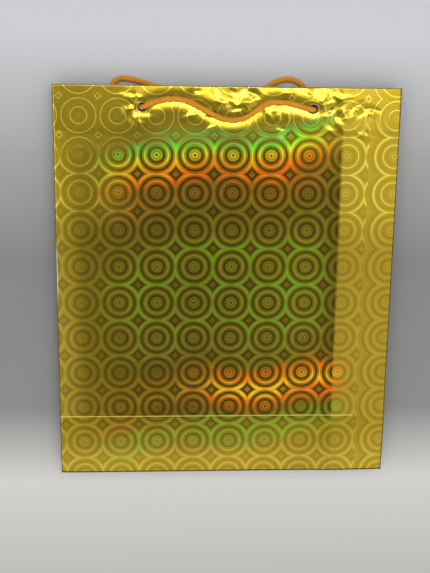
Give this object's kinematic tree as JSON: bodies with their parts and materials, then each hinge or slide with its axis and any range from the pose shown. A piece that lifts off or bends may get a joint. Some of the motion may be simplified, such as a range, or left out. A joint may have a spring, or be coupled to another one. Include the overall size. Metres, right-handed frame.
{
  "type": "gift bag",
  "caption": "Flat-folded paper gift bag with pleated gussets, a fold-out base, stiffened mouth and two cord handles; it opens into a box-bottomed bag.",
  "frame": {"origin": "middle of the folded paper body, on the surface it lies on, under its back", "axes": "+Z out of the front face, up; +Y towards the mouth; +X to the right as the front is seen"},
  "size_m": [0.26, 0.3136, 0.0174],
  "materials": {
    "film": "gold metallised film on paper, embossed with a fine ring pattern, glossy",
    "film_back": "white uncoated paper",
    "card": "grey uncoated card",
    "cord": "twisted polyester cord, orange gold, satin",
    "aglet": "black shrunk plastic tip"
  },
  "bodies": {
    "back": {"back_panel": "film", "back_card": "card", "back_hem": "film", "back_right_cord_end": "cord", "back_right_knot": "cord", "back_right_aglet": "aglet", "back_left_cord_end": "cord", "back_left_knot": "cord", "back_left_aglet": "aglet"},
    "front": {"front_panel": "film", "front_card": "card", "front_hem": "film", "front_right_cord_end": "cord", "front_right_knot": "cord", "front_right_aglet": "aglet", "front_left_cord_end": "cord", "front_left_knot": "cord", "front_left_aglet": "aglet"},
    "right_gusset_back": {"right_gusset_back_half": "film", "right_gusset_back_hem": "film", "right_heel_corner": "film"},
    "right_gusset_front": {"right_gusset_front_half": "film", "right_gusset_front_hem": "film"},
    "left_gusset_front": {"left_gusset_front_half": "film", "left_gusset_front_hem": "film"},
    "left_gusset_back": {"left_gusset_back_half": "film", "left_gusset_back_hem": "film", "side_seam_tab": "film_back", "left_heel_corner": "film"},
    "lower_back": {"back_lower_panel": "film"},
    "base": {"base_panel": "film", "base_flap": "film_back", "base_card": "card"},
    "right_base_corner": {"right_base_corner": "film"},
    "left_base_corner": {"left_base_corner": "film"},
    "front_handle": {"front_handle": "cord"},
    "back_handle": {"back_handle": "cord"}
  },
  "joints": [
    {"name": "open_bag", "type": "hinge", "parent": "back", "child": "right_gusset_back", "pos_m": [0.13, 0, 0.00525], "axis": [0, 1, 0], "range_deg": [0, 85]},
    {"name": "right_gusset_crease", "type": "hinge", "parent": "right_gusset_back", "child": "right_gusset_front", "pos_m": [0.08588, 0, 0.00865], "axis": [0, -1, 0], "range_deg": [0, 170.5]},
    {"name": "front_wall_corner", "type": "hinge", "parent": "right_gusset_front", "child": "front", "pos_m": [0.13, 0, 0.01205], "axis": [0, 1, 0], "range_deg": [0, 85.5]},
    {"name": "left_gusset_corner", "type": "hinge", "parent": "front", "child": "left_gusset_front", "pos_m": [-0.13, 0, 0.01205], "axis": [0, 1, 0], "range_deg": [0, 85.5]},
    {"name": "left_gusset_crease", "type": "hinge", "parent": "left_gusset_front", "child": "left_gusset_back", "pos_m": [-0.08588, 0, 0.00865], "axis": [0, -1, 0], "range_deg": [0, 170.5]},
    {"name": "bottom_fold", "type": "hinge", "parent": "back", "child": "lower_back", "pos_m": [0, -0.108, 0.00392], "axis": [-1, 0, 0], "range_deg": [0, 180.5]},
    {"name": "base_fold", "type": "hinge", "parent": "lower_back", "child": "base", "pos_m": [0, -0.063, 0.0006], "axis": [1, 0, 0], "range_deg": [0, 90.5]},
    {"name": "right_base_corner_fold", "type": "hinge", "parent": "base", "child": "right_base_corner", "pos_m": [0.12885, 0, 0.0013], "axis": [0, 1, 0], "range_deg": [0, 87.5]},
    {"name": "left_base_corner_fold", "type": "hinge", "parent": "base", "child": "left_base_corner", "pos_m": [-0.12885, 0, 0.0013], "axis": [0, -1, 0], "range_deg": [0, 87.5]},
    {"name": "front_handle_pull", "type": "slide", "parent": "front", "child": "front_handle", "axis": [0, 0, 1], "range_m": [0, 0.003]},
    {"name": "back_handle_swing", "type": "hinge", "parent": "back", "child": "back_handle", "pos_m": [0, 0.137, 0.002], "axis": [-1, 0, 0], "range_deg": [0, 150]}
  ],
  "couplings": [
    {"joint": "right_gusset_crease", "follows": "open_bag", "ratio": 2},
    {"joint": "front_wall_corner", "follows": "open_bag", "ratio": 1},
    {"joint": "left_gusset_corner", "follows": "open_bag", "ratio": 1},
    {"joint": "left_gusset_crease", "follows": "open_bag", "ratio": 2},
    {"joint": "bottom_fold", "follows": "open_bag", "ratio": 2.1176},
    {"joint": "base_fold", "follows": "open_bag", "ratio": 1.0588},
    {"joint": "right_base_corner_fold", "follows": "open_bag", "ratio": 1.0235},
    {"joint": "left_base_corner_fold", "follows": "open_bag", "ratio": 1.0235}
  ]
}
